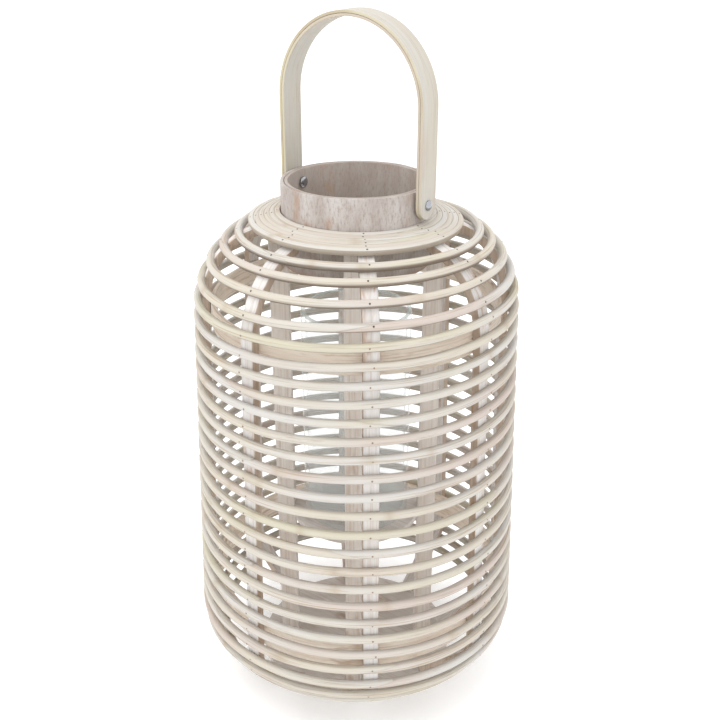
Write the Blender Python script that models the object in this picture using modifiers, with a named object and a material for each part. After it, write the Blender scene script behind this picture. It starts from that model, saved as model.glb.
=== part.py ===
"""A hurricane candle lantern: round canes nailed to bent ribs, a wooden collar, a glass and a carrying strap."""

import math

import bmesh
import bpy
from mathutils import Matrix, Vector

# Sizes in metres. The origin is under the middle of the base board, +Z is up and
# +X runs along the pin axis of the carrying strap.

GAP = 0.0003

# The middle line of the canes, drawn in the plane of one rib. It comes out from the
# collar at a slope, turns over the shoulder, runs down the side, which leans out a
# little, turns in again and ends straight.
PLATE_SLOPE = math.radians(16)
PLATE_REACH = 0.0182  # how far out of the collar the slope stays straight
SIDE_REACH = 0.0642  # how far the top of the side stands out of the collar
SHOULDER_HEIGHT = 0.3262
SIDE_LEAN = math.radians(1.95)
FOOT_HEIGHT = 0.0630
FOOT_BEND = 0.028
FOOT_SLOPE = math.radians(137)

CANE = 0.0054
CANE_COUNT = 27
FIRST_SPACE = 0.00155  # clear of the flat top, along the line
LAST_CANE = 0.0189  # past the end of the foot's bend
PITCH_SWING = 0.0024

PLATE_CANE = 0.0041
PLATE_CANE_COUNT = 6

RIB_COUNT = 8
RIB_WIDTH = 0.0115
RIB_THICKNESS = 0.0065
RIB_TURN = math.radians(-5)
RIB_CLEARANCE = 0.0041  # between the top of a rib and the posts

POST_COUNT = 4
POST_WIDTH = 0.0127
POST_DEPTH = 0.0143
POST_REBATE = 0.0042  # how far the collar's outer face stands out of a post's inner face
POST_TURN = math.radians(33)

BASE_THICKNESS = 0.0055
BASE_MARGIN = 0.00445  # how far the board runs past the feet of the ribs

GLASS_RADIUS = 0.0424
GLASS_WALL = 0.003
GLASS_BOTTOM = 0.005
GLASS_HEIGHT = 0.1763

COLLAR_ROOM = 0.0069  # between the glass and the collar
COLLAR_PLY = 0.0026
COLLAR_HEIGHT = 0.060
COLLAR_LIP = 0.0098  # above the pins

PLATFORM_THICKNESS = 0.005
PLATFORM_TOP = 0.141
PLATFORM_HOUSING = 0.0014  # how deep it sits in the posts

HOOP_THICKNESS = 0.003
UPPER_HOOP_DROP = 0.0137  # from the middle of the shoulder's bend
UPPER_HOOP_HEIGHT = 0.0175
LOWER_HOOP_BOTTOM = 0.072
LOWER_HOOP_HEIGHT = 0.022

STRAP_WIDTH = 0.020
STRAP_PLY = 0.0019
STRAP_RISE = 0.1258  # from the pins to the crown
STRAP_ROOM = 0.002625  # between its round ends and the flat top
PIN_RADIUS = 0.0024
PIN_HEAD_LAP = 0.0014
PIN_HEAD_HEIGHT = 0.0021
WASHER_RADIUS = 0.0055
WASHER_THICKNESS = 0.0012
NUT_WALL = 0.0015
NUT_HEIGHT = 0.0028

RING_SIDES = 24
CANE_SIDES = 6
TURNED_STEPS = 40

# What follows from the sizes above.

COLLAR_RADIUS = GLASS_RADIUS + COLLAR_ROOM + 2 * COLLAR_PLY + GAP
POST_INNER_RADIUS = COLLAR_RADIUS - POST_REBATE
POST_OUTER_RADIUS = POST_INNER_RADIUS + POST_DEPTH
PLATFORM_RADIUS = POST_INNER_RADIUS + PLATFORM_HOUSING

PLATE_OFFSET = CANE / 2 - PLATE_CANE / 2
RIB_OFFSET = CANE / 2 + GAP
HOOP_OFFSET = RIB_OFFSET + RIB_THICKNESS + GAP

LEAN = math.pi / 2 - SIDE_LEAN
SIDE_RADIUS = COLLAR_RADIUS + SIDE_REACH
SHOULDER_BEND = (SIDE_REACH - PLATE_REACH) / (1 - math.sin(PLATE_SLOPE))
SHOULDER_CENTRE = Vector((SIDE_RADIUS - SHOULDER_BEND, SHOULDER_HEIGHT))
SIDE_TOP = SHOULDER_HEIGHT + SHOULDER_BEND * math.cos(LEAN)
SIDE_LENGTH = (SIDE_TOP - FOOT_HEIGHT) / math.sin(LEAN)

PLATE_RISE = (PLATE_REACH - PLATE_CANE / 2) * math.tan(PLATE_SLOPE)
PLATE_TOP = SHOULDER_HEIGHT + SHOULDER_BEND * math.cos(PLATE_SLOPE) + PLATE_RISE + CANE / 2
PIN_HEIGHT = PLATE_TOP + STRAP_ROOM + STRAP_WIDTH / 2
COLLAR_TOP = PIN_HEIGHT + COLLAR_LIP
STRAP_TOP = PIN_HEIGHT + STRAP_RISE
UPPER_HOOP_BOTTOM = SHOULDER_HEIGHT - UPPER_HOOP_DROP

STRAP_INNER_FACE = COLLAR_RADIUS + 2 * GAP + WASHER_THICKNESS
STRAP_OUTER_FACE = STRAP_INNER_FACE + 2 * STRAP_PLY + GAP
PIN_HEAD_RADIUS = PIN_RADIUS + PIN_HEAD_LAP
NUT_RADIUS = PIN_RADIUS + GAP + NUT_WALL


# ---------------------------------------------------------------- scene


def clear_scene():
    for obj in list(bpy.data.objects):
        bpy.data.objects.remove(obj, do_unlink=True)


def new_collection(name, hidden=False):
    collection = bpy.data.collections.new(name)
    bpy.context.scene.collection.children.link(collection)
    collection.hide_render = hidden
    return collection


def new_material(name, colour, roughness, metallic=0.0, transmission=0.0):
    material = bpy.data.materials.new(name)
    material.use_nodes = True
    shader = material.node_tree.nodes["Principled BSDF"]
    shader.inputs["Base Color"].default_value = (*colour, 1.0)
    shader.inputs["Roughness"].default_value = roughness
    shader.inputs["Metallic"].default_value = metallic
    shader.inputs["Transmission Weight"].default_value = transmission
    return material


def add_object(name, bm, material, collection=None):
    """Makes an object from a bmesh, which is then freed."""
    bmesh.ops.recalc_face_normals(bm, faces=bm.faces)
    mesh = bpy.data.meshes.new(name)
    bm.to_mesh(mesh)
    bm.free()
    if material is not None:
        mesh.materials.append(material)
    obj = bpy.data.objects.new(name, mesh)
    (collection or parts).objects.link(obj)
    return obj


def shade_round(obj):
    obj.data.shade_smooth()
    obj.data.set_sharp_from_angle(angle=math.radians(35))


def add_boolean(obj, name, operation, other):
    modifier = obj.modifiers.new(name, "BOOLEAN")
    modifier.operation = operation
    modifier.solver = "EXACT"
    modifier.object = other


# ---------------------------------------------------------------- the middle line of the canes


def cane_line(run):
    """(radius, height, heading) at this run along the line. The heading is 0 where the
    line runs straight out and 90 degrees where it runs straight down. The run is 0 where
    the shoulder starts to turn, and below 0 on the slope that leads to the collar."""
    shoulder_run = SHOULDER_BEND * (LEAN - PLATE_SLOPE)
    foot_run = FOOT_BEND * (FOOT_SLOPE - LEAN)
    if run < 0:
        return along(arc_point(SHOULDER_CENTRE, SHOULDER_BEND, PLATE_SLOPE), PLATE_SLOPE, run)
    if run < shoulder_run:
        heading = PLATE_SLOPE + run / SHOULDER_BEND
        return (*arc_point(SHOULDER_CENTRE, SHOULDER_BEND, heading), heading)
    side_start = arc_point(SHOULDER_CENTRE, SHOULDER_BEND, LEAN)
    run -= shoulder_run
    if run < SIDE_LENGTH:
        return along(side_start, LEAN, run)
    side_end = Vector(along(side_start, LEAN, SIDE_LENGTH)[:2])
    foot_centre = side_end - FOOT_BEND * Vector((math.sin(LEAN), math.cos(LEAN)))
    run -= SIDE_LENGTH
    if run < foot_run:
        heading = LEAN + run / FOOT_BEND
        return (*arc_point(foot_centre, FOOT_BEND, heading), heading)
    return along(arc_point(foot_centre, FOOT_BEND, FOOT_SLOPE), FOOT_SLOPE, run - foot_run)


def arc_point(centre, radius, heading):
    return centre + radius * Vector((math.sin(heading), math.cos(heading)))


def along(start, heading, run):
    """(radius, height, heading) after a straight run from a point."""
    return (start.x + run * math.cos(heading), start.y - run * math.sin(heading), heading)


def inside_line(run, offset):
    """(radius, height) of the point this far inside the middle line of the canes."""
    radius, height, heading = cane_line(run)
    return Vector((radius - offset * math.sin(heading), height - offset * math.cos(heading)))


def run_where(test, start, step=0.0001):
    """The first run, going down the line from start, whose point passes the test."""
    run = start
    while not test(run):
        run += step
    return run


def straight_runs():
    """The runs at which the line changes between straight and round, from the top."""
    shoulder_run = SHOULDER_BEND * (LEAN - PLATE_SLOPE)
    foot_run = FOOT_BEND * (FOOT_SLOPE - LEAN)
    return (
        0.0,
        shoulder_run,
        shoulder_run + SIDE_LENGTH,
        shoulder_run + SIDE_LENGTH + foot_run,
    )


def plate_cane_run(number):
    """Where cane number 0, 1, 2... of the flat top sits along the line, from the collar out."""
    first_radius = COLLAR_RADIUS + GAP + PLATE_CANE / 2
    first_run = (first_radius - inside_line(0, PLATE_OFFSET).x) / math.cos(PLATE_SLOPE)
    return first_run + (PLATE_CANE + GAP) * number


def cane_run(number):
    """Where cane number 0, 1, 2... sits along the line. The pitch opens and closes a little."""
    first = plate_cane_run(PLATE_CANE_COUNT - 1) + (PLATE_CANE + CANE) / 2 + FIRST_SPACE
    pitch = (straight_runs()[3] + LAST_CANE - first) / (CANE_COUNT - 1)
    swing = PITCH_SWING * math.sin(math.tau * (number - 6.2) / 17.2)
    return first + pitch * number - swing


# ---------------------------------------------------------------- shapes


def add_ring(name, radius, height, thickness, material):
    """A round cane. Its straight stretches are centred on the ribs, where its own middle
    line is at the radius given."""
    bpy.ops.mesh.primitive_torus_add(
        major_segments=RING_SIDES,
        minor_segments=CANE_SIDES,
        major_radius=radius / math.cos(math.pi / RING_SIDES),
        minor_radius=thickness / 2,
        location=(0, 0, height),
        rotation=(0, 0, RIB_TURN + math.pi / RING_SIDES),
    )
    ring = bpy.context.object
    ring.name = name
    for collection in list(ring.users_collection):
        collection.objects.unlink(ring)
    parts.objects.link(ring)
    ring.data.materials.append(material)
    shade_round(ring)
    return ring


def add_turned(name, profile, material, steps=TURNED_STEPS, collection=None):
    """Turns a closed (radius, height) outline about Z. Its points run down the outer side first."""
    bm = bmesh.new()
    corners = [bm.verts.new((radius, 0, height)) for radius, height in profile]
    for start, end in zip(corners, corners[1:] + corners[:1]):
        if max(start.co.x, end.co.x) > 0:
            bm.edges.new((start, end))
    mesh = bpy.data.meshes.new(name)
    bm.to_mesh(mesh)
    bm.free()
    mesh.materials.append(material)
    obj = bpy.data.objects.new(name, mesh)
    (collection or parts).objects.link(obj)
    screw = obj.modifiers.new("Turn", "SCREW")
    screw.steps = steps
    screw.render_steps = steps
    screw.use_merge_vertices = True
    screw.merge_threshold = 0.00001
    screw.use_smooth_shade = False
    return obj


def add_slab(name, outline, width, turn, material):
    """Extrudes a (radius, height) outline sideways, centred on the vertical plane at this turn."""
    bm = bmesh.new()
    corners = [bm.verts.new((radius, -width / 2, height)) for radius, height in outline]
    face = bm.faces.new(corners)
    grown = bmesh.ops.extrude_face_region(bm, geom=[face])
    moved = [item for item in grown["geom"] if isinstance(item, bmesh.types.BMVert)]
    bmesh.ops.translate(bm, vec=(0, width, 0), verts=moved)
    obj = add_object(name, bm, material)
    obj.rotation_euler.z = turn
    return obj


def add_cylinder(name, radius, length, place, material=None, collection=None, sides=24):
    """A cylinder along X, centred on its place."""
    bm = bmesh.new()
    bmesh.ops.create_cone(
        bm,
        cap_ends=True,
        segments=sides,
        radius1=radius,
        radius2=radius,
        depth=length,
        matrix=Matrix.Rotation(math.pi / 2, 4, "Y"),
    )
    obj = add_object(name, bm, material, collection)
    obj.location = place
    return obj


# ---------------------------------------------------------------- frame


def add_canes():
    for number in range(CANE_COUNT):
        radius, height, _ = cane_line(cane_run(number))
        add_ring(f"cane_{number + 1:02d}", radius, height, CANE, cane_finish)


def add_plate_canes():
    """The flat top: canes side by side from the collar outwards, lying on the ribs."""
    start = inside_line(0, PLATE_OFFSET)
    for number in range(PLATE_CANE_COUNT):
        radius, height, _ = along(start, PLATE_SLOPE, plate_cane_run(number))
        add_ring(f"plate_cane_{number + 1}", radius, height, PLATE_CANE, cane_finish)


def rib_end():
    """The run at which the outer face of a rib comes down to the base board."""
    stand = BASE_THICKNESS + GAP
    start = straight_runs()[3]
    return run_where(lambda run: inside_line(run, RIB_OFFSET).y < stand + 0.0002, start)


def rib_runs():
    """The runs of a rib's outline points, from its top end to its foot on the base board."""
    top = POST_OUTER_RADIUS + RIB_CLEARANCE - inside_line(0, RIB_OFFSET).x
    bends = straight_runs()
    end = rib_end()
    runs = [top / math.cos(PLATE_SLOPE)]
    runs += [bends[0] + (bends[1] - bends[0]) * i / 8 for i in range(9)]
    runs += [bends[2] + (bends[3] - bends[2]) * i / 5 for i in range(6)]
    return runs + [end]


def add_ribs():
    runs = rib_runs()
    outer = [inside_line(run, RIB_OFFSET) for run in runs]
    inner = [inside_line(run, RIB_OFFSET + RIB_THICKNESS) for run in runs]
    outline = outer + inner[::-1]
    for number in range(RIB_COUNT):
        turn = RIB_TURN + math.tau * number / RIB_COUNT
        add_slab(f"rib_{number + 1}", outline, RIB_WIDTH, turn, wood_finish)


def add_posts():
    """Square posts on the base board. The collar sits in a rebate at the top of each, and
    the platform in a shallow housing."""
    inner = POST_INNER_RADIUS
    outer = POST_OUTER_RADIUS
    shoulder = COLLAR_TOP - COLLAR_HEIGHT - GAP
    tongue = COLLAR_RADIUS + GAP
    housing = PLATFORM_RADIUS + GAP
    plate = inside_line(0, CANE / 2 + GAP)
    top = plate.y + (plate.x - outer - PLATE_CANE) * math.tan(PLATE_SLOPE)
    outline = [
        (inner, BASE_THICKNESS + GAP),
        (outer, BASE_THICKNESS + GAP),
        (outer, top),
        (tongue, top),
        (tongue, shoulder),
        (inner, shoulder),
        (inner, PLATFORM_TOP + GAP),
        (housing, PLATFORM_TOP + GAP),
        (housing, PLATFORM_TOP - PLATFORM_THICKNESS - GAP),
        (inner, PLATFORM_TOP - PLATFORM_THICKNESS - GAP),
    ]
    for number in range(POST_COUNT):
        turn = POST_TURN + math.tau * number / POST_COUNT
        add_slab(f"post_{number + 1}", outline, POST_WIDTH, turn, wood_finish)


def add_hoop(name, bottom, height):
    """A bent band inside the ribs. It leans with the side of the lantern."""
    outline = []
    for offset, ends in ((HOOP_OFFSET, (1, 0)), (HOOP_OFFSET + HOOP_THICKNESS, (0, 1))):
        for end in ends:
            level = bottom + height * end
            run = run_where(lambda at: inside_line(at, offset).y < level, 0.0)
            outline.append((inside_line(run, offset).x, level))
    add_turned(name, outline, wood_finish)


def add_disc(name, radius, bottom, thickness):
    bm = bmesh.new()
    bmesh.ops.create_cone(
        bm,
        cap_ends=True,
        segments=TURNED_STEPS,
        radius1=radius,
        radius2=radius,
        depth=thickness,
        matrix=Matrix.Translation((0, 0, bottom + thickness / 2)),
    )
    shade_round(add_object(name, bm, wood_finish))


def add_collar():
    """Two bent plies, one inside the other, drilled for the pins of the strap."""
    bottom = COLLAR_TOP - COLLAR_HEIGHT
    drill = add_cylinder(
        "collar_drill",
        PIN_RADIUS + GAP,
        COLLAR_RADIUS * 3,
        (0, 0, PIN_HEIGHT),
        collection=cutters,
    )
    drill.display_type = "WIRE"
    drill.hide_render = True
    outer = COLLAR_RADIUS
    for name in ("collar_outer_ply", "collar_inner_ply"):
        inner = outer - COLLAR_PLY
        outline = [(outer, COLLAR_TOP), (outer, bottom), (inner, bottom), (inner, COLLAR_TOP)]
        ply = add_turned(name, outline, wood_finish)
        add_boolean(ply, "Pin holes", "DIFFERENCE", drill)
        outer = inner - GAP


# ---------------------------------------------------------------- glass


def add_glass():
    bottom = PLATFORM_TOP + GAP
    top = bottom + GLASS_HEIGHT
    inner = GLASS_RADIUS - GLASS_WALL
    outline = [
        (0, bottom + GLASS_BOTTOM),
        (inner, bottom + GLASS_BOTTOM),
        (inner, top),
        (GLASS_RADIUS, top),
        (GLASS_RADIUS, bottom),
        (0, bottom),
    ]
    add_turned("glass_cylinder", outline, glass_finish)


# ---------------------------------------------------------------- carrying strap


def strap_station(run, face):
    """(x, z) on the strap's bent line at this run from its left end, on a face this far from the middle."""
    leg = STRAP_TOP - STRAP_OUTER_FACE - (PIN_HEIGHT - STRAP_WIDTH / 2)
    middle = STRAP_OUTER_FACE
    arch = math.pi * middle
    spring = STRAP_TOP - STRAP_OUTER_FACE
    if run < leg:
        return -face, spring - leg + run
    if run < leg + arch:
        turn = (run - leg) / middle
        return -face * math.cos(turn), spring + face * math.sin(turn)
    return face, spring - (run - leg - arch)


def strap_rows():
    """(run, half width) of the rows across the strap: a half-round end, a leg, the arch, and back."""
    leg = STRAP_TOP - STRAP_OUTER_FACE - (PIN_HEIGHT - STRAP_WIDTH / 2)
    arch = math.pi * STRAP_OUTER_FACE
    half = STRAP_WIDTH / 2
    round_end = []
    for step in range(7):
        turn = math.radians(10 + 80 * step / 6)
        round_end.append((half * (1 - math.cos(turn)), half * math.sin(turn)))
    bend = [(leg + arch * step / 20, half) for step in range(21)]
    total = 2 * leg + arch
    return round_end + bend + [(total - run, width) for run, width in round_end[::-1]]


def add_strap_ply(name, face, drill):
    """One ply of the strap: a flat strip with round ends, bent over, its inner face this far out."""
    rows = strap_rows()
    bm = bmesh.new()
    bmesh.ops.create_grid(bm, x_segments=1, y_segments=len(rows) - 1, size=1)
    for vertex in bm.verts:
        row = round((vertex.co.y + 1) / 2 * (len(rows) - 1))
        run, half_width = rows[row]
        x, z = strap_station(run, face)
        side = 1 if vertex.co.x > 0 else -1
        vertex.co = (x, side * half_width, z - PIN_HEIGHT)
    mesh = bpy.data.meshes.new(name)
    bm.to_mesh(mesh)
    bm.free()
    mesh.materials.append(strap_finish)
    obj = bpy.data.objects.new(name, mesh)
    parts.objects.link(obj)
    obj.location.z = PIN_HEIGHT
    thick = obj.modifiers.new("Ply", "SOLIDIFY")
    thick.thickness = STRAP_PLY
    thick.offset = -1.0
    thick.use_even_offset = True
    add_boolean(obj, "Pin holes", "DIFFERENCE", drill)
    return obj


def add_strap():
    drill = add_cylinder(
        "strap_drill",
        PIN_RADIUS + GAP,
        STRAP_OUTER_FACE * 3,
        (0, 0, PIN_HEIGHT),
        collection=cutters,
    )
    drill.display_type = "WIRE"
    drill.hide_render = True
    add_strap_ply("strap_inner_ply", STRAP_INNER_FACE, drill)
    add_strap_ply("strap_outer_ply", STRAP_INNER_FACE + STRAP_PLY + GAP, drill)


def add_pin_set(side, word):
    """The pin, washer and cap nut at one end of the strap. Each is turned about Z and laid along X."""
    lay = Matrix.Rotation(side * math.pi / 2, 4, "Y")
    inner_face = COLLAR_RADIUS - 2 * COLLAR_PLY - GAP
    head = STRAP_OUTER_FACE + GAP
    dome = []
    for step in range(5):
        turn = math.pi / 2 * step / 4
        dome.append((PIN_HEAD_RADIUS * math.sin(turn), head + PIN_HEAD_HEIGHT * math.cos(turn)))
    tip = inner_face - NUT_HEIGHT * 0.6
    pin_outline = dome + [(PIN_RADIUS, head), (PIN_RADIUS, tip), (0, tip)]
    washer_bottom = COLLAR_RADIUS + GAP
    washer_top = washer_bottom + WASHER_THICKNESS
    bore = PIN_RADIUS + GAP
    washer_outline = [
        (WASHER_RADIUS, washer_top),
        (WASHER_RADIUS, washer_bottom),
        (bore, washer_bottom),
        (bore, washer_top),
    ]
    nut_top = math.sqrt(inner_face**2 - NUT_RADIUS**2) - GAP
    nut_outline = [
        (bore, nut_top),
        (NUT_RADIUS, nut_top),
        (NUT_RADIUS, inner_face - NUT_HEIGHT),
        (0, inner_face - NUT_HEIGHT),
        (0, tip - GAP),
        (bore, tip - GAP),
    ]
    for name, outline in (
        ("pin", pin_outline),
        ("washer", washer_outline),
        ("cap_nut", nut_outline),
    ):
        piece = add_turned(f"{word}_{name}", outline, steel_finish, steps=20)
        piece.matrix_world = Matrix.Translation((0, 0, PIN_HEIGHT)) @ lay


# ---------------------------------------------------------------- build

clear_scene()
parts = new_collection("hurricane_lantern")
cutters = new_collection("cutters", hidden=True)

cane_finish = new_material("washed cane", (0.76, 0.71, 0.63), 0.6)
wood_finish = new_material("washed wood", (0.42, 0.37, 0.32), 0.75)
strap_finish = new_material("washed strap", (0.72, 0.67, 0.56), 0.55)
glass_finish = new_material("clear glass", (0.95, 0.97, 0.97), 0.02, transmission=1.0)
steel_finish = new_material("bright steel", (0.62, 0.62, 0.63), 0.3, metallic=1.0)

base_radius = inside_line(rib_end(), RIB_OFFSET).x + BASE_MARGIN
add_disc("base_board", base_radius, 0, BASE_THICKNESS)
add_disc("glass_platform", PLATFORM_RADIUS, PLATFORM_TOP - PLATFORM_THICKNESS, PLATFORM_THICKNESS)
add_posts()
add_ribs()
add_hoop("upper_hoop", UPPER_HOOP_BOTTOM, UPPER_HOOP_HEIGHT)
add_hoop("lower_hoop", LOWER_HOOP_BOTTOM, LOWER_HOOP_HEIGHT)
add_collar()
add_plate_canes()
add_canes()
add_glass()
add_strap()
add_pin_set(1, "right")
add_pin_set(-1, "left")
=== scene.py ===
import math
import random

import bmesh
import bpy
from mathutils import Matrix, Vector, noise


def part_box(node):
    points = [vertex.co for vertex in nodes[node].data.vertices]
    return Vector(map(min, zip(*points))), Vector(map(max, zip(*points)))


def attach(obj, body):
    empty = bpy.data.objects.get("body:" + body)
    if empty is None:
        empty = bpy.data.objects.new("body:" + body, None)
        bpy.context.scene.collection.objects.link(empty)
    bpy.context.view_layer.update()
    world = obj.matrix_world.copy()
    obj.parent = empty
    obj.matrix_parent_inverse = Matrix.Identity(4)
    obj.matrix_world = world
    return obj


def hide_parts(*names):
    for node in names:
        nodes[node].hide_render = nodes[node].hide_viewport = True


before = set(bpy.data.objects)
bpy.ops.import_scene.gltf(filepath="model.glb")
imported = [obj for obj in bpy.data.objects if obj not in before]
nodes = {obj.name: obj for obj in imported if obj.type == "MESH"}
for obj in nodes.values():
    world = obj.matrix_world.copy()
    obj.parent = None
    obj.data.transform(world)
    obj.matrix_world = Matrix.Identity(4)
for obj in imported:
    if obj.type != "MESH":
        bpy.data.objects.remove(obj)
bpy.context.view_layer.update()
scene = bpy.context.scene
print("frame loaded,", len(nodes), "nodes")

# camera, floor and light

studio = {
    "lens": 49.87,
    "cameraPlace": (0.4046, -0.5778, 0.6022),
    "cameraTurn": (64.98, 0.0, 35.0),
    "shift": 0.0052,
    "floorSize": 30.0,
    "floorColour": (0.86, 0.86, 0.86),
    "floorGlow": 0.22,
    "skyColour": (1.0, 1.0, 1.0),
    "skyStrength": 1.34,
    "panels": {
        "topPanel": {
            "place": (-0.2, -0.8, 2.4),
            "aim": (0, 0, 0.3),
            "width": 1.5,
            "power": 14.0,
            "colour": (1.0, 0.995, 0.985),
        },
        "keyPanel": {
            "place": (-0.5, -1.9, 1.9),
            "aim": (0, 0, 0.25),
            "width": 1.6,
            "power": 2.0,
            "colour": (1.0, 0.985, 0.96),
        },
        "fillPanel": {
            "place": (1.9, -0.5, 1.3),
            "aim": (0, 0, 0.25),
            "width": 1.6,
            "power": 0.8,
            "colour": (0.97, 0.98, 1.0),
        },
    },
}


def linear(red, green, blue):
    # a colour given as 0 to 255 display values, made linear for the shaders
    spread = []
    for value in (red, green, blue):
        value = value / 255
        spread.append(value / 12.92 if value < 0.04045 else ((value + 0.055) / 1.055) ** 2.4)
    return (*spread, 1.0)


def addCamera():
    data = bpy.data.cameras.new("lanternCamera")
    data.lens = studio["lens"]
    data.sensor_width = 36.0
    data.shift_x = studio["shift"]
    data.clip_start = 0.01
    data.clip_end = 60.0
    camera = bpy.data.objects.new("lanternCamera", data)
    camera.location = studio["cameraPlace"]
    camera.rotation_euler = [math.radians(angle) for angle in studio["cameraTurn"]]
    scene.collection.objects.link(camera)
    scene.camera = camera


def addPanelLight(name, panel):
    data = bpy.data.lights.new(name, "AREA")
    data.shape = "DISK"
    data.size = panel["width"]
    data.energy = panel["power"]
    data.color = panel["colour"]
    lamp = bpy.data.objects.new(name, data)
    lamp.location = panel["place"]
    beam = Vector(panel["aim"]) - Vector(panel["place"])
    lamp.rotation_euler = beam.to_track_quat("-Z", "Y").to_euler()
    scene.collection.objects.link(lamp)


def addFloor():
    bm = bmesh.new()
    bmesh.ops.create_grid(bm, x_segments=1, y_segments=1, size=studio["floorSize"] / 2)
    mesh = bpy.data.meshes.new("paleFloor")
    bm.to_mesh(mesh)
    bm.free()
    paint = bpy.data.materials.new("paleFloor")
    paint.use_nodes = True
    matt = paint.node_tree.nodes["Principled BSDF"]
    matt.inputs["Base Color"].default_value = (*studio["floorColour"], 1.0)
    matt.inputs["Roughness"].default_value = 0.9
    matt.inputs["Specular IOR Level"].default_value = 0.1
    matt.inputs["Emission Color"].default_value = (1.0, 1.0, 1.0, 1.0)
    matt.inputs["Emission Strength"].default_value = studio["floorGlow"]
    mesh.materials.append(paint)
    floor = bpy.data.objects.new("paleFloor", mesh)
    scene.collection.objects.link(floor)


def addStudio():
    addCamera()
    world = bpy.data.worlds.new("paleRoom")
    world.use_nodes = True
    sky = world.node_tree.nodes["Background"]
    sky.inputs["Color"].default_value = (*studio["skyColour"], 1.0)
    sky.inputs["Strength"].default_value = studio["skyStrength"]
    scene.world = world
    scene.view_settings.view_transform = "Standard"
    for name, panel in studio["panels"].items():
        addPanelLight(name, panel)
    addFloor()
    print("camera, floor and lights made")


# finishes


class Value:
    # a node's output that takes part in sums
    def __init__(self, finish, socket):
        self.finish = finish
        self.socket = socket

    def sum(self, operation, first, second):
        return self.finish.node("ShaderNodeMath", {"operation": operation}, {0: first, 1: second})

    def __add__(self, other):
        return self.sum("ADD", self, other)

    def __radd__(self, other):
        return self.sum("ADD", other, self)

    def __sub__(self, other):
        return self.sum("SUBTRACT", self, other)

    def __rsub__(self, other):
        return self.sum("SUBTRACT", other, self)

    def __mul__(self, other):
        return self.sum("MULTIPLY", self, other)

    def __rmul__(self, other):
        return self.sum("MULTIPLY", other, self)


class Finish:
    # one material and the nodes that it is made of
    def __init__(self, name, colour, roughness, metallic=0.0):
        self.material = bpy.data.materials.new(name)
        self.material.use_nodes = True
        self.tree = self.material.node_tree
        self.surface = self.tree.nodes["Principled BSDF"]
        self.fix("Base Color", colour)
        self.fix("Roughness", roughness)
        self.fix("Metallic", metallic)

    def fix(self, socketName, value):
        self.surface.inputs[socketName].default_value = value

    def drive(self, socketName, value):
        self.tree.links.new(value.socket, self.surface.inputs[socketName])

    def node(self, kind, settings=None, inputs=None, output=0):
        made = self.tree.nodes.new(kind)
        for key, value in (settings or {}).items():
            setattr(made, key, value)
        for key, value in (inputs or {}).items():
            if isinstance(value, Value):
                self.tree.links.new(value.socket, made.inputs[key])
            else:
                made.inputs[key].default_value = value
        return Value(self, made.outputs[output])

    def grain(self):
        return self.node("ShaderNodeUVMap", {"uv_map": "grain"})

    def place(self):
        return self.node("ShaderNodeTexCoord", output="Object")

    def noise(self, where, stretch, detail=2.0, rough=0.5, offset=(0, 0, 0), distortion=0.0):
        # 0 to 1 mottling, its stretch in features per metre along each axis
        shift = {"Vector": where, "Scale": stretch, "Location": offset}
        settled = self.node("ShaderNodeMapping", inputs=shift)
        values = {
            "Vector": settled,
            "Scale": 1.0,
            "Detail": detail,
            "Roughness": rough,
            "Distortion": distortion,
        }
        return self.node("ShaderNodeTexNoise", inputs=values)

    def between(self, value, low, high):
        # 0 at low, 1 at high, smooth in between
        inputs = {"Value": value, "From Min": low, "From Max": high}
        return self.node("ShaderNodeMapRange", {"interpolation_type": "SMOOTHSTEP"}, inputs)

    def blend(self, mask, first, second):
        return self.node("ShaderNodeMix", {"data_type": "RGBA"}, {0: mask, 6: first, 7: second}, 2)

    def relief(self, height, depth, strength=1.0):
        values = {"Height": height, "Distance": depth, "Strength": strength}
        self.drive("Normal", self.node("ShaderNodeBump", inputs=values))


def washedCane(name, look):
    # peeled cane under a thin white wash, with fibres along its length
    finish = Finish(name, look["cream"], look["roughness"])
    finish.fix("Specular IOR Level", 0.3)
    grain = finish.grain()
    drift = finish.noise(grain, (7.0, 30.0, 1.0), 3.0, 0.6)
    blush = finish.noise(grain, (5.0, 20.0, 1.0), 2.0, 0.5, (3.1, 7.7, 0))
    fibre = finish.noise(grain, (14.0, 900.0, 1.0), 3.0, 0.65)
    thread = finish.noise(grain, (45.0, 3600.0, 1.0), 2.0, 0.6, (1.7, 0.4, 0))
    bare = finish.noise(grain, (22.0, 160.0, 1.0), 4.0, 0.7, (9.2, 2.2, 0))
    split = finish.noise(grain, (9.0, 620.0, 1.0), 2.0, 0.5, (5.5, 3.9, 0))
    knot = finish.node("ShaderNodeAttribute", {"attribute_name": "knot"}, output="Fac")
    under = finish.node("ShaderNodeAttribute", {"attribute_name": "under"}, output="Fac")
    colour = finish.blend(finish.between(drift, 0.38, 0.62), look["cream"], look["chalk"])
    colour = finish.blend(finish.between(blush, 0.50, 0.66) * 0.85, colour, look["blush"])
    colour = finish.blend(finish.between(blush, 0.44, 0.30) * 0.8, colour, look["straw"])
    colour = finish.blend(finish.between(bare, 0.57, 0.72) * 0.5, colour, look["bare"])
    colour = finish.blend(finish.between(fibre, 0.52, 0.74) * look["fibre"], colour, look["groove"])
    colour = finish.blend(finish.between(split, 0.60, 0.70) * look["fibre"], colour, look["bare"])
    colour = finish.blend(knot * 0.45, colour, look["bare"])
    # painted shade: the underside of each cane is darkened, more where the fibres run dark
    underShade = under + 0.5 * fibre - 0.25
    colour = finish.blend(finish.between(underShade, 0.60, 1.0) * 0.8, colour, look["underShade"])
    finish.drive("Base Color", colour)
    finish.drive("Roughness", look["roughness"] + 0.16 * fibre - 0.05)
    finish.relief(fibre * 0.6 + split * 0.2 + thread * 0.2, 0.0005, look["relief"])
    return finish


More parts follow.
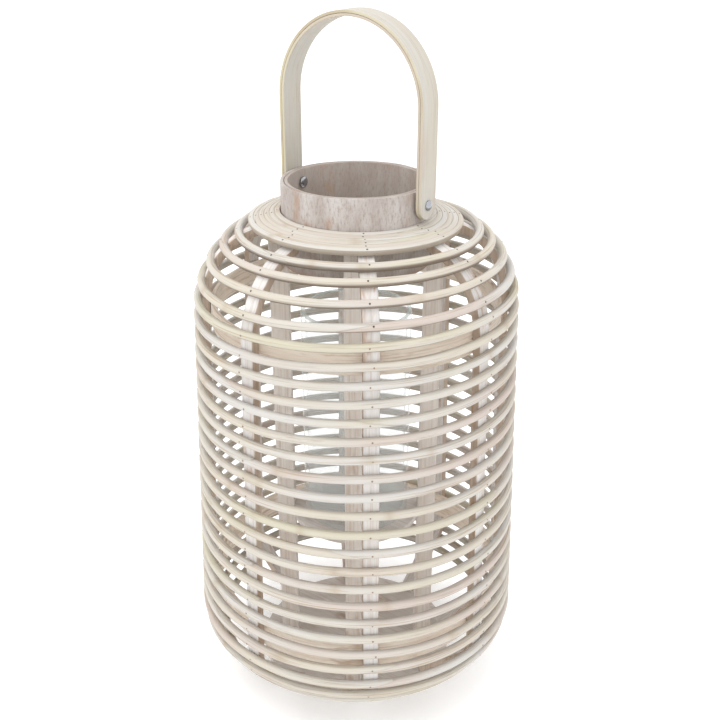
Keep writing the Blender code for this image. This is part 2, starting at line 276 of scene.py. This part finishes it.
def washedWood(name, look, byPlace=None):
    # split wood with a worn wash: streaks of bare wood, a few darker stains
    finish = Finish(name, look["wash"], look["roughness"])
    if byPlace:
        where = finish.place()
        broad, streak, thread, patch = byPlace
    else:
        where = finish.grain()
        broad, streak, thread, patch = (9, 90, 1), (16, 520, 1), (60, 2600, 1), (26, 110, 1)
    tone = finish.noise(where, broad, 3.0, 0.6)
    worn = finish.noise(where, streak, 4.0, 0.7, (2.3, 1.1, 0.6))
    fine = finish.noise(where, thread, 2.0, 0.6, (0.7, 4.1, 2.6))
    stain = finish.noise(where, patch, 3.0, 0.6, (8.3, 5.9, 1.4))
    colour = finish.blend(finish.between(tone, 0.36, 0.64), look["wash"], look["chalk"])
    colour = finish.blend(finish.between(worn, 0.46, 0.70) * look["worn"], colour, look["bare"])
    colour = finish.blend(finish.between(fine, 0.55, 0.80) * 0.5 * look["worn"], colour, look["groove"])
    colour = finish.blend(finish.between(stain, 0.57, 0.73) * look["stained"], colour, look["stain"])
    if "foot" in look:
        height = finish.node("ShaderNodeSeparateXYZ", inputs={0: where}, output=2)
        # darker towards the collar's foot, from about 9 mm above it down, mottled by the worn streaks
        nearFoot = finish.between(height + 0.006 * worn, look["foot"] + 0.009, look["foot"] + 0.002)
        colour = finish.blend(nearFoot * 0.7, colour, look["stain"])
    finish.drive("Base Color", colour)
    finish.drive("Roughness", look["roughness"] + 0.12 * worn - 0.04)
    finish.relief(worn * 0.6 + fine * 0.4, 0.0004, look["relief"])
    return finish


caneLook = {
    "cream": linear(195, 188, 175),
    "chalk": linear(196, 193, 188),
    "blush": linear(191, 178, 169),
    "straw": linear(191, 186, 165),
    "bare": linear(166, 149, 126),
    "groove": linear(152, 138, 123),
    # the colour painted as shade along the underside of the canes
    "underShade": linear(112, 96, 83),
    "roughness": 0.66,
    "fibre": 0.8,
    "relief": 0.7,
}
plateLook = {
    **caneLook,
    "cream": linear(194, 187, 176),
    "chalk": linear(198, 195, 189),
    "blush": linear(192, 183, 173),
    # a paler painted shade under the flat plate canes
    "underShade": linear(168, 156, 140),
    "fibre": 0.5,
}
ribLook = {
    "wash": linear(217, 212, 208),
    "chalk": linear(226, 223, 221),
    "bare": linear(188, 176, 165),
    "groove": linear(160, 144, 130),
    "stain": linear(178, 140, 106),
    "roughness": 0.68,
    "worn": 0.6,
    "stained": 0.7,
    "relief": 0.4,
}
# the side faces of the ribs take a darker, browner copy of the rib wash
ribSideLook = {
    **ribLook,
    "wash": linear(184, 164, 146),
    "chalk": linear(200, 184, 168),
    "bare": linear(156, 134, 114),
    "stain": linear(158, 122, 92),
}
# partly painted light: the wash of the wood inside the lantern is set lighter than the real wash, to
# lift the shade inside; posts, hoops and boards build on it
insideLook = {
    **ribLook,
    "wash": linear(223, 213, 204),
    "chalk": linear(230, 223, 216),
    "bare": linear(192, 174, 158),
    "groove": linear(150, 132, 116),
    "stain": linear(166, 136, 110),
}
hoopLook = {
    **insideLook,
    "wash": linear(237, 223, 207),
    "chalk": linear(241, 231, 218),
    "bare": linear(193, 168, 144),
}
boardLook = {
    **insideLook,
    "wash": linear(208, 201, 195),
    "chalk": linear(217, 212, 207),
}
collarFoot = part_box("collar_outer_ply")[0].z
collarLook = {
    **ribLook,
    "wash": linear(165, 156, 150),
    "chalk": linear(184, 178, 174),
    "bare": linear(140, 124, 113),
    "groove": linear(116, 102, 92),
    "stain": linear(158, 126, 102),
    "worn": 0.7,
    "stained": 0.6,
    "relief": 0.6,
    "foot": collarFoot,
}
collarInsideLook = {
    **insideLook,
    "wash": linear(162, 151, 143),
    "chalk": linear(173, 164, 158),
    "bare": linear(144, 128, 115),
    "groove": linear(124, 110, 98),
}
strapLook = {
    **caneLook,
    "cream": linear(186, 180, 167),
    "chalk": linear(189, 185, 177),
    "straw": linear(185, 179, 158),
    "blush": linear(183, 171, 159),
    "bare": linear(164, 148, 124),
    "fibre": 0.55,
    "roughness": 0.50,
}
strapEdgeLook = {**strapLook, "cream": linear(188, 176, 146), "chalk": linear(192, 184, 160)}

caneFinish = washedCane("washedCane", caneLook)
plateFinish = washedCane("washedPlate", plateLook)
ribFinish = washedWood("washedRib", ribLook)
ribSideFinish = washedWood("darkerRibSide", ribSideLook)
hoopFinish = washedWood("washedHoop", hoopLook)
# features per metre along X, Y and Z: broad tone, streaks, threads and stains
upright = ((60, 60, 6), (420, 420, 9), (1800, 1800, 40), (60, 60, 20))
crazed = ((70, 70, 22), (760, 760, 210), (1700, 1700, 700), (42, 42, 26))
lengthways = ((8, 60, 60), (12, 420, 420), (50, 1800, 1800), (20, 70, 70))
postFinish = washedWood("washedPost", insideLook, upright)
# the rounded corners of the posts take the paler chalk of the ribs
postEdgeFinish = washedWood("palePostCorner", {**insideLook, "wash": ribLook["chalk"]}, upright)
boardFinish = washedWood("washedBoard", boardLook, lengthways)
collarFinish = washedWood("washedCollar", collarLook, crazed)
collarInsideFinish = washedWood("washedCollarInside", collarInsideLook, crazed)
strapFinish = washedCane("washedStrap", strapLook)
strapEdgeFinish = washedCane("strapEdge", strapEdgeLook)

# thin blown glass: nearly clear face on, milky where it turns away
glassFinish = Finish("clearGlass", linear(220, 227, 227), 0.04)
glassFinish.fix("IOR", 1.46)
turnedAway = glassFinish.node("ShaderNodeLayerWeight", inputs={"Blend": 0.5}, output=1)
cloud = glassFinish.noise(glassFinish.place(), (26, 26, 9), 3.0, 0.6, distortion=0.6)
glassFinish.drive("Alpha", 0.10 + 0.10 * cloud + 0.5 * glassFinish.between(turnedAway, 0.72, 1.0))
glassRimFinish = Finish("glassRim", linear(196, 208, 206), 0.08)
glassRimFinish.fix("IOR", 1.46)
rimCloud = glassRimFinish.noise(glassRimFinish.place(), (60, 60, 60), 2.0, 0.6)
glassRimFinish.drive("Alpha", 0.45 + 0.3 * rimCloud)

steelFinish = Finish("brightSteel", linear(164, 167, 172), 0.24, 1.0)
scratches = steelFinish.noise(steelFinish.place(), (900, 900, 900), 2.0, 0.6)
steelFinish.drive("Roughness", 0.12 + 0.2 * scratches)


def rustyNail(name, dark, brown):
    finish = Finish(name, dark, 0.5, 0.4)
    rust = finish.noise(finish.place(), (700, 700, 700), 2.0, 0.6)
    finish.drive("Base Color", finish.blend(rust, dark, brown))
    return finish


darkNailFinish = rustyNail("darkNail", linear(58, 54, 52), linear(96, 80, 66))
paleNailFinish = rustyNail("paleNail", linear(120, 106, 94), linear(150, 126, 104))
print("finishes made")

# shapes shared by several pieces


def finishPiece(name, bm, finishes, body, replaced, crease=35):
    mesh = bpy.data.meshes.new(name)
    bm.to_mesh(mesh)
    bm.free()
    mesh.shade_smooth()
    mesh.set_sharp_from_angle(angle=math.radians(crease))
    for finish in finishes:
        mesh.materials.append(finish.material)
    piece = bpy.data.objects.new(name, mesh)
    scene.collection.objects.link(piece)
    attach(piece, body)
    if replaced:
        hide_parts(*replaced)
    return piece


def wiggle(turn, seed, waves):
    # a smooth number from about -1 to 1 that meets itself after a full turn
    return noise.noise(Vector((math.cos(turn) * waves, math.sin(turn) * waves, seed * 5.31)))


sharpEdge = math.radians(40)
plyGap = 0.0003  # between two plies that lie together, in the solids


def roundEdges(bm, width, segments=2):
    picked = []
    for edge in bm.edges:
        if len(edge.link_faces) == 2 and edge.calc_face_angle() > sharpEdge:
            picked.append(edge)
    bmesh.ops.bevel(
        bm,
        geom=picked,
        offset=width,
        offset_type="OFFSET",
        segments=segments,
        profile=0.5,
        affect="EDGES",
        clamp_overlap=True,
        material=-1,
    )


def solidCopy(nodeName):
    # the node's own shape with its flat faces made whole
    bm = bmesh.new()
    bm.from_mesh(nodes[nodeName].data)
    bmesh.ops.remove_doubles(bm, verts=bm.verts, dist=0.00002)
    bmesh.ops.dissolve_limit(bm, angle_limit=math.radians(1.0), verts=bm.verts, edges=bm.edges)
    return bm


def turned(outline, steps):
    # spins a closed outline of radius and height about the upright axis
    bm = bmesh.new()
    corners = [bm.verts.new((radius, 0, height)) for radius, height in outline]
    for start, end in zip(corners, corners[1:] + corners[:1]):
        if start.co.x > 0 or end.co.x > 0:
            bm.edges.new((start, end))
    bmesh.ops.spin(
        bm,
        geom=bm.verts[:] + bm.edges[:],
        axis=(0, 0, 1),
        cent=(0, 0, 0),
        angle=math.tau,
        steps=steps,
        use_merge=True,
    )
    bmesh.ops.remove_doubles(bm, verts=bm.verts, dist=0.00001)
    bmesh.ops.recalc_face_normals(bm, faces=bm.faces)
    return bm


def nodeOutline(nodeName):
    # the outline that a turned node was made from, as radius and height
    found = set()
    for vertex in nodes[nodeName].data.vertices:
        found.add((round(math.hypot(vertex.co.x, vertex.co.y), 5), round(vertex.co.z, 5)))
    midRadius = sum(radius for radius, _ in found) / len(found)
    midHeight = sum(height for _, height in found) / len(found)
    return sorted(found, key=lambda p: math.atan2(p[1] - midHeight, p[0] - midRadius))


def writeGrain(bm, where, period):
    # lays the grain map round a hoop: where gives (along, across) in metres for a point
    layer = bm.loops.layers.uv.new("grain")
    for face in bm.faces:
        middle = where(face.calc_center_median())[0]
        for loop in face.loops:
            along, across = where(loop.vert.co)
            along += period * round((middle - along) / period)
            loop[layer].uv = (along, across)


# canes

cane = {
    "thickness": 0.0060,
    "plateThickness": 0.0042,
    "plateSpread": 0.91,
    "plateLift": 0.0010,
    "plateFlatter": 0.075,
    "plateLean": 0.0010,
    "plateSag": 0.00025,
    "square": 2.6,
    "plateSquare": 7.0,
    "aside": (0.0030, 0.0022, 0.0017, 0.0009, 0.0003),
    "sides": 16,
    "rows": 168,
    "nodeSides": 24,
    "crease": 50,
    "spliceLength": 0.030,
    "spliceGap": 0.00013,
    "spliceSlant": 0.86,
    "spliceWidth": 1.04,
    "knotReach": 0.0035,
    "knotSwell": 0.05,
    "uneven": 0.03,
    "oval": 0.04,
    "wander": 0.055,
    "steadyStart": 0.35,
    "steadyStep": 0.2,
    "bulge": 0.00035,
    "bulgeShift": 0.4,
    "lean": (0.06, 0.12, 0.18, 0.24, 0.28, 0.30, 0.31, 0.27, 0.22, 0.18, 0.13, 0.09, 0.04, 0.0, -0.04,
             -0.07, -0.10, -0.12, -0.14, -0.15, -0.14, -0.12, -0.10, -0.07, -0.04, -0.02, 0.0),
    "leanTurn": math.radians(35),
    "rise": {1: -0.20, 4: -0.06, 25: 0.12, 26: 0.45, 27: 0.65},
    "ribTurn": math.radians(-5),
    "ribs": 8,
}


def ringPlace(nodeName):
    # radius and height of a cane's middle line where it lies on a rib
    radii = [math.hypot(v.co.x, v.co.y) for v in nodes[nodeName].data.vertices]
    heights = [v.co.z for v in nodes[nodeName].data.vertices]
    onRib = (max(radii) + min(radii)) / 2 * math.cos(math.pi / cane["nodeSides"])
    return Vector((onRib, (max(heights) + min(heights)) / 2))


caneNames = [name for name in sorted(nodes) if name.startswith("cane_")]
plateNames = [name for name in sorted(nodes) if name.startswith("plate_cane_")]
stations = [ringPlace(plateNames[-1])] + [ringPlace(name) for name in caneNames]
stations.append(stations[-1] * 2 - stations[-2])
plateStations = [ringPlace(name) for name in plateNames]
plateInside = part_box("collar_outer_ply")[1].x
plateRise = plateStations[0] - plateStations[-1]
plateSlope = math.atan2(plateRise.y, -plateRise.x)


def onSide(spot):
    # the middle line of the canes at cane number spot, and the way down along it
    index = min(max(int(spot), 1), len(stations) - 3)
    share = spot - index
    before, start, end, after = stations[index - 1:index + 3]
    slope = (end - before) / 2
    leaving = (after - start) / 2
    rest = end - start
    place = start + slope * share + (3 * rest - 2 * slope - leaving) * share ** 2
    place += (slope + leaving - 2 * rest) * share ** 3
    heading = slope + 2 * (3 * rest - 2 * slope - leaving) * share
    heading += 3 * (slope + leaving - 2 * rest) * share ** 2
    return place, heading.normalized()


def caneSpot(number, turn):
    # a cane climbs and dips a little as it goes round, as it was nailed by hand
    spot = number - cane["lean"][number - 1] * math.cos(turn - cane["leanTurn"])
    spot -= cane["rise"].get(number, 0.0)
    steady = min(1.0, cane["steadyStart"] + cane["steadyStep"] * number)
    return spot + cane["wander"] * steady * wiggle(turn, number, 1.6)


def canePoint(number, turn, out, up):
    # a point of cane number, out from its middle line and up along the side
    place, heading = onSide(caneSpot(number, turn))
    outward = Vector((-heading.y, heading.x))
    off = (turn - cane["ribTurn"]) * cane["ribs"] / math.tau
    free = math.sin(math.pi * (off - math.floor(off))) ** 2
    out += cane["bulge"] * (cane["bulgeShift"] + wiggle(turn, number + 40, 2.5)) * free
    flat = place + outward * out - heading * up
    if number <= len(cane["aside"]):
        flat.x += cane["aside"][number - 1] * math.cos(turn - cane["leanTurn"])
    return Vector((flat.x * math.cos(turn), flat.x * math.sin(turn), flat.y))


def platePoint(number, turn, out, up):
    # a point of plate cane number, set closer in and flatter than its node
    place = plateStations[number - 1].copy()
    place.x = plateInside + (place.x - plateInside) * cane["plateSpread"]
    place.y += cane["plateLift"] + (place.x - plateInside) * cane["plateFlatter"]
    sag = cane["plateSag"] * wiggle(turn, number + 70, 2.0)
    sag -= cane["plateLean"] * math.cos(turn - cane["leanTurn"])
    heading = Vector((math.cos(plateSlope), -math.sin(plateSlope)))
    outward = Vector((-heading.y, heading.x))
    flat = place + outward * (out + sag) - heading * up
    return Vector((flat.x * math.cos(turn), flat.x * math.sin(turn), flat.y))


def straightCane(thickness, rows, sides, square):
    # a straight bar one unit long on X, cut into rows: round at square 2, boxier above
    bm = bmesh.new()
    bmesh.ops.create_cone(
        bm,
        cap_ends=True,
        segments=sides,
        radius1=thickness / 2,
        radius2=thickness / 2,
        depth=1.0,
        matrix=Matrix.Rotation(math.pi / 2, 4, "Y"),
    )
    lengthwise = [edge for edge in bm.edges if abs(edge.verts[0].co.x - edge.verts[1].co.x) > 0.5]
    bmesh.ops.subdivide_edges(bm, edges=lengthwise, cuts=rows - 1, use_grid_fill=True)
    for vertex in bm.verts:
        turn = math.atan2(vertex.co.z, vertex.co.y)
        push = (abs(math.cos(turn)) ** square + abs(math.sin(turn)) ** square) ** (-1 / square)
        vertex.co.y *= push
        vertex.co.z *= push
    return bm


def addCane(name, nodeName, number, thickness, square, point, radius, spliceTurn, flip, finish):
    rng = random.Random(nodeName)
    bm = straightCane(thickness, cane["rows"], cane["sides"], square)
    lap = cane["spliceLength"] / radius
    total = math.tau + lap
    length = total * radius
    start = rng.uniform(0, 40)
    layer = bm.loops.layers.uv.new("grain")
    girth = math.pi * thickness
    for face in bm.faces:
        across = [math.atan2(loop.vert.co.z, loop.vert.co.y) / math.tau for loop in face.loops]
        wraps = max(across) - min(across) > 0.5
        for loop, spread in zip(face.loops, across):
            spread += 1.0 if wraps and spread < 0 else 0.0
            loop[layer].uv = (start + loop.vert.co.x * length, number * 0.37 + spread * girth)
    knots = [rng.uniform(0.06, 0.94) for _ in range(rng.choice((1, 2, 2, 3)))]
    knotLayer = bm.verts.layers.float.new("knot")
    underLayer = bm.verts.layers.float.new("under")
    half = thickness / 2
    for vertex in bm.verts:
        along = vertex.co.x + 0.5
        out, up = vertex.co.y, vertex.co.z
        near = min(abs(along - knot) * length for knot in knots)
        swell = math.exp(-((near / cane["knotReach"]) ** 2))
        vertex[knotLayer] = swell
        # how far round towards the cane's underside a point lies; the finish paints shade there
        vertex[underLayer] = max(0.0, -up * flip) / half
        turn = spliceTurn + along * total
        rough = noise.noise(Vector((along * length * 30, number * 3.7, 1.5)))
        squash = noise.noise(Vector((along * length * 12, number * 9.1, 4.5)))
        grow = 1.0 + cane["knotSwell"] * swell + cane["uneven"] * rough
        oval = 1.0 + cane["oval"] * squash
        out *= grow * oval
        up *= grow / oval
        fromStart = along * total / lap
        fromEnd = (1 - along) * total / lap
        if fromStart < 1 or fromEnd < 1:
            # the two ends are cut on the slant and lie one over the other
            above = fromStart < 1
            cut = half * cane["spliceSlant"] * (1 - 2 * (fromStart if above else 1 - fromEnd))
            widest = math.sqrt(max(half ** 2 - cut ** 2, 0.0)) * cane["spliceWidth"]
            if (above and up < cut) or (not above and up > cut):
                up = cut
                out = max(-widest, min(widest, out))
            up += cane["spliceGap"] / 2 * (1 if above else -1)
        vertex.co = point(number, turn, out, up * flip)
    bmesh.ops.recalc_face_normals(bm, faces=bm.faces)
    finishPiece(name, bm, [finish], "frame", [nodeName], cane["crease"])


splices = {16: (-63.0, 1)}  # the cane whose splice shows in front
for number, nodeName in enumerate(caneNames, 1):
    rng = random.Random(number * 17)
    rib = rng.randrange(cane["ribs"])
    guess = math.degrees(cane["ribTurn"]) + 360 / cane["ribs"] * rib - rng.uniform(4, 12)
    turn, flip = splices.get(number, (guess, rng.choice((-1, 1))))
    radius = stations[number].x
    splice = math.radians(turn)
    shape = (cane["thickness"], cane["square"], canePoint, radius)
    addCane(f"round_{nodeName}", nodeName, number, *shape, splice, flip, caneFinish)
for number, nodeName in enumerate(plateNames, 1):
    rng = random.Random(number * 31)
    turn = math.radians(rng.uniform(0, 360))
    radius = plateStations[number - 1].x
    shape = (cane["plateThickness"], cane["plateSquare"], platePoint, radius)
    addCane(f"flat_{nodeName}", nodeName, number, *shape, turn, 1, plateFinish)
print("canes bent and spliced")

# nails where the canes cross the ribs

nail = {
    "headRadius": 0.00080,
    "headHeight": 0.00028,
    "scatter": 0.0014,
    "rise": 0.0006,
    "sink": 0.00012,
    "darkRings": 4,
}


def addNail(bm, point, number, turn, thickness, up):
    top = point(number, turn, thickness / 2, up)
    inner = point(number, turn, 0.0, up)
    outward = (top - inner).normalized()
    lift = top - outward * nail["sink"]
    lay = outward.to_track_quat("Z", "X").to_matrix().to_4x4()
    flatten = Matrix.Diagonal((1, 1, nail["headHeight"] / nail["headRadius"], 1))
    bmesh.ops.create_uvsphere(
        bm,
        u_segments=8,
        v_segments=4,
        radius=nail["headRadius"],
        matrix=Matrix.Translation(lift) @ lay @ flatten,
    )


def addNails():
    rng = random.Random(5)
    darkHeads = bmesh.new()
    paleHeads = bmesh.new()
    for rib in range(cane["ribs"]):
        ribTurn = cane["ribTurn"] + math.tau * rib / cane["ribs"]
        for number in range(1, len(caneNames) + 1):
            aside = rng.gauss(0, nail["scatter"]) / stations[number].x
            up = rng.uniform(-nail["rise"], nail["rise"])
            heads = darkHeads if number <= nail["darkRings"] else paleHeads
            addNail(heads, canePoint, number, ribTurn + aside, cane["thickness"], up)
        for number in range(1, len(plateNames) + 1):
            aside = rng.gauss(0, nail["scatter"]) / plateStations[number - 1].x
            addNail(darkHeads, platePoint, number, ribTurn + aside, cane["plateThickness"], 0.0)
    finishPiece("darkNails", darkHeads, [darkNailFinish], "frame", [])
    finishPiece("paleNails", paleHeads, [paleNailFinish], "frame", [])


addNails()
print("nails driven")

# ribs, posts, hoops and boards

timber = {
    "ribEdge": 0.0009,
    "postEdge": 0.0009,
    "boardEdge": 0.0008,
    "hoopEdge": 0.0006,
    "posts": 4,
    "steps": 120,
    "guideSteps": 260,
}
guideSteps = timber["guideSteps"]
guide = [onSide(1 + step * (len(caneNames) - 1) / guideSteps)[0] for step in range(guideSteps + 1)]
guideRun = [0.0]
for first, second in zip(guide, guide[1:]):
    guideRun.append(guideRun[-1] + (second - first).length)


def runNear(radius, height):
    # how far along the side line a point lies
    spot = Vector((radius, height))
    nearest = min(range(len(guide)), key=lambda index: (guide[index] - spot).length_squared)
    if nearest == 0:
        return -(guide[0] - spot).length
    if nearest == len(guide) - 1:
        return guideRun[-1] + (guide[-1] - spot).length
    return guideRun[nearest]


def addRib(number):
    nodeName = f"rib_{number}"
    turn = cane["ribTurn"] + math.tau * (number - 1) / cane["ribs"]
    across = Vector((-math.sin(turn), math.cos(turn), 0))
    forward = Vector((math.cos(turn), math.sin(turn), 0))
    bm = solidCopy(nodeName)
    roundEdges(bm, timber["ribEdge"])
    for face in bm.faces:
        sideways = abs(face.normal.dot(across))
        face.material_index = 1 if sideways > 0.8 else 0

    layer = bm.loops.layers.uv.new("grain")
    for face in bm.faces:
        aside = forward if face.material_index else across
        for loop in face.loops:
            point = loop.vert.co
            run = runNear(point.dot(forward), point.z)
            loop[layer].uv = (run + number * 3.3, point.dot(aside) + number * 0.9)
    finishPiece(f"bent_{nodeName}", bm, [ribFinish, ribSideFinish], "frame", [nodeName])


def addPost(number):
    nodeName = f"post_{number}"
    bm = solidCopy(nodeName)
    roundEdges(bm, timber["postEdge"])
    for face in bm.faces:
        # only the rounded corners are this narrow
        narrow = min(edge.calc_length() for edge in face.edges) < timber["postEdge"] * 0.9
        face.material_index = 1 if narrow and len(face.verts) == 4 else 0
    finishPiece(f"square_{nodeName}", bm, [postFinish, postEdgeFinish], "frame", [nodeName])


def addHoop(nodeName):
    outline = nodeOutline(nodeName)
    bm = turned(outline, timber["steps"])
    roundEdges(bm, timber["hoopEdge"])
    middle = sum(radius for radius, _ in outline) / len(outline)

    def where(point):
        return math.atan2(point.y, point.x) * middle, point.z + math.hypot(point.x, point.y)

    writeGrain(bm, where, math.tau * middle)
    finishPiece(f"bent_{nodeName}", bm, [hoopFinish], "frame", [nodeName])


def addBoard(nodeName):
    (_, _, low), (wide, _, high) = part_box(nodeName)
    bm = turned([(0, high), (wide, high), (wide, low), (0, low)], timber["steps"])
    roundEdges(bm, timber["boardEdge"])
    finishPiece(f"round_{nodeName}", bm, [boardFinish], "frame", [nodeName])


for number in range(1, cane["ribs"] + 1):
    addRib(number)
for number in range(1, timber["posts"] + 1):
    addPost(number)
for nodeName in ("upper_hoop", "lower_hoop"):
    addHoop(nodeName)
for nodeName in ("base_board", "glass_platform"):
    addBoard(nodeName)
print("ribs, posts, hoops and boards made")

# collar

collar = {
    "steps": 144,
    "edge": 0.0006,
    "uneven": 0.00025,
    "shownGap": 0.00025,
}


def addCollarPly(nodeName, outer, inner, seed, finishes):
    (_, _, low), (_, _, high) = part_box(nodeName)
    bm = turned([(outer, high), (outer, low), (inner, low), (inner, high)], collar["steps"])
    roundEdges(bm, collar["edge"])
    middle = (outer + inner) / 2
    for face in bm.faces:
        centre = face.calc_center_median()
        face.material_index = 1 if math.hypot(centre.x, centre.y) < middle - collar["edge"] else 0
    for vertex in bm.verts:
        turn = math.atan2(vertex.co.y, vertex.co.x)
        if vertex.co.z > (low + high) / 2:
            vertex.co.z += collar["uneven"] * wiggle(turn, seed, 2.2)
    finishPiece(f"bent_{nodeName}", bm, finishes, "frame", [nodeName])


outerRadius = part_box("collar_outer_ply")[1].x
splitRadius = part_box("collar_inner_ply")[1].x
innerRadius = splitRadius - (outerRadius - splitRadius - plyGap)
outerInside = splitRadius + collar["shownGap"]
addCollarPly("collar_outer_ply", outerRadius, outerInside, 91, [collarFinish, collarInsideFinish])
addCollarPly("collar_inner_ply", splitRadius, innerRadius, 92, [collarInsideFinish, collarInsideFinish])
print("collar made")

# glass

glass = {
    "wall": 0.003,
    "bottom": 0.005,
    "rim": 0.0012,
    "rimSegments": 4,
    "steps": 128,
    "crease": 60,
}


def addGlass():
    (_, _, low), (wide, _, high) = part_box("glass_cylinder")
    inner = wide - glass["wall"]
    floor = low + glass["bottom"]
    outline = [(0, floor), (inner, floor), (inner, high), (wide, high), (wide, low), (0, low)]
    bm = turned(outline, glass["steps"])
    roundEdges(bm, glass["rim"], glass["rimSegments"])
    for face in bm.faces:
        face.material_index = 1 if face.calc_center_median().z > high - glass["rim"] * 1.1 else 0
    finishes = [glassFinish, glassRimFinish]
    finishPiece("blownGlass", bm, finishes, "glass", ["glass_cylinder"], glass["crease"])


addGlass()
print("glass made")

# carrying strap and its pins

strap = {
    "edge": 0.0005,
    "across": 4,
    "archRows": 64,
    "legRows": 20,
    "endRows": 10,
    "firstTurn": 8,
    "shownGap": 0.00022,
}
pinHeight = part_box("left_pin")[0].z / 2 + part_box("left_pin")[1].z / 2


def strapRows(reach, crown, half):
    # run and half width of each row: a half-round end, a leg, the arch, and back
    leg = crown - reach - (pinHeight - half)
    arch = math.pi * reach
    total = 2 * leg + arch
    rows = []
    for step in range(strap["endRows"] + 1):
        turn = math.radians(strap["firstTurn"] + (90 - strap["firstTurn"]) * step / strap["endRows"])
        rows.append((half * (1 - math.cos(turn)), half * math.sin(turn)))
    for step in range(1, strap["legRows"]):
        rows.append((half + (leg - half) * step / strap["legRows"], half))
    for step in range(strap["archRows"] // 2):
        rows.append((leg + arch * step / strap["archRows"], half))
    return rows + [(total / 2, half)] + [(total - run, width) for run, width in rows[::-1]], leg, arch


def addStrapPly(nodeName, inner, outer, seed):
    (_, back, _), (_, front, _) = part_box(nodeName)
    half = (front - back) / 2
    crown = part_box("strap_outer_ply")[1].z
    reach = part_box("strap_outer_ply")[1].x
    rows, leg, arch = strapRows(reach, crown, half)
    spring = crown - reach
    bm = bmesh.new()
    bmesh.ops.create_grid(bm, x_segments=strap["across"], y_segments=len(rows) - 1, size=1)
    layer = bm.loops.layers.uv.new("grain")
    order = {}
    for vertex in bm.verts:
        row = round((vertex.co.y + 1) / 2 * (len(rows) - 1))
        order[vertex] = (rows[row][0], vertex.co.x * rows[row][1])
    for face in bm.faces:
        for loop in face.loops:
            run, aside = order[loop.vert]
            loop[layer].uv = (seed * 2.7 + run, aside + seed)
    for vertex, (run, aside) in order.items():
        if run < leg:
            x, z = -inner, spring - leg + run
        elif run < leg + arch:
            turn = (run - leg) / reach
            x, z = -inner * math.cos(turn), spring + inner * math.sin(turn)
        else:
            x, z = inner, spring - (run - leg - arch)
        vertex.co = (x, aside, z)
    finishes = [strapFinish, strapEdgeFinish]
    piece = finishPiece(f"bent_{nodeName}", bm, finishes, "strap", [nodeName])
    thick = piece.modifiers.new("ply", "SOLIDIFY")
    thick.thickness = outer - inner
    thick.offset = -1.0
    thick.use_even_offset = True
    thick.material_offset_rim = 1
    soft = piece.modifiers.new("softEdge", "BEVEL")
    soft.width = strap["edge"]
    soft.segments = 2
    soft.limit_method = "ANGLE"
    soft.angle_limit = math.radians(50)


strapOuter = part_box("strap_outer_ply")[1].x
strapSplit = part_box("strap_inner_ply")[1].x
plyThickness = strapOuter - strapSplit - plyGap
addStrapPly("strap_inner_ply", strapSplit - plyThickness, strapSplit, 1)
addStrapPly("strap_outer_ply", strapSplit + strap["shownGap"], strapOuter, 2)
print("strap bent")


fixing = {
    "steps": 40,
    "domeSteps": 8,
    "edge": 0.0002,
    "shank": 0.0023,
    "headGap": 0.0002,
    "washerRoom": 0.0003,
    "nutRoom": 0.0002,
    "nutShoulder": 0.0008,
    "nutTop": 0.7,
    "nutWall": 0.0006,
}


def layAlongX(bm, side):
    tip = Matrix.Rotation(side * math.pi / 2, 3, "Y")
    bmesh.ops.rotate(bm, verts=bm.verts, cent=(0, 0, 0), matrix=tip)
    bmesh.ops.translate(bm, verts=bm.verts, vec=(0, 0, pinHeight))


def addFixing(nodeName, outline, side):
    bm = turned(outline, fixing["steps"])
    roundEdges(bm, fixing["edge"])
    layAlongX(bm, side)
    finishPiece(f"bright_{nodeName}", bm, [steelFinish], "frame", [nodeName])


def reachOf(nodeName):
    # the near and far ends of a fixing along X, and its radius
    low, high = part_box(nodeName)
    near, far = sorted((abs(low.x), abs(high.x)))
    return near, far, (high.z - low.z) / 2


def addPin(word, side):
    near, far, radius = reachOf(f"{word}_pin")
    headBottom = strapOuter + fixing["headGap"]
    outline = []
    for step in range(fixing["domeSteps"] + 1):
        turn = math.pi / 2 * step / fixing["domeSteps"]
        outline.append((radius * math.sin(turn), headBottom + (far - headBottom) * math.cos(turn)))
    shank = fixing["shank"]
    addFixing(f"{word}_pin", outline + [(shank, headBottom), (shank, near), (0, near)], side)


def addWasher(word, side):
    near, far, radius = reachOf(f"{word}_washer")
    hole = fixing["shank"] + fixing["washerRoom"]
    addFixing(f"{word}_washer", [(radius, far), (radius, near), (hole, near), (hole, far)], side)


def addCapNut(word, side):
    near, far, radius = reachOf(f"{word}_cap_nut")
    hole = fixing["shank"] + fixing["nutRoom"]
    wall = near + fixing["nutWall"]
    outline = [(hole, far), (radius, far), (radius, near + fixing["nutShoulder"])]
    outline += [(radius * fixing["nutTop"], near), (0, near), (0, wall), (hole, wall)]
    addFixing(f"{word}_cap_nut", outline, side)


for word, side in (("left", -1), ("right", 1)):
    addPin(word, side)
    addWasher(word, side)
    addCapNut(word, side)
print("pins, washers and nuts made")

addStudio()
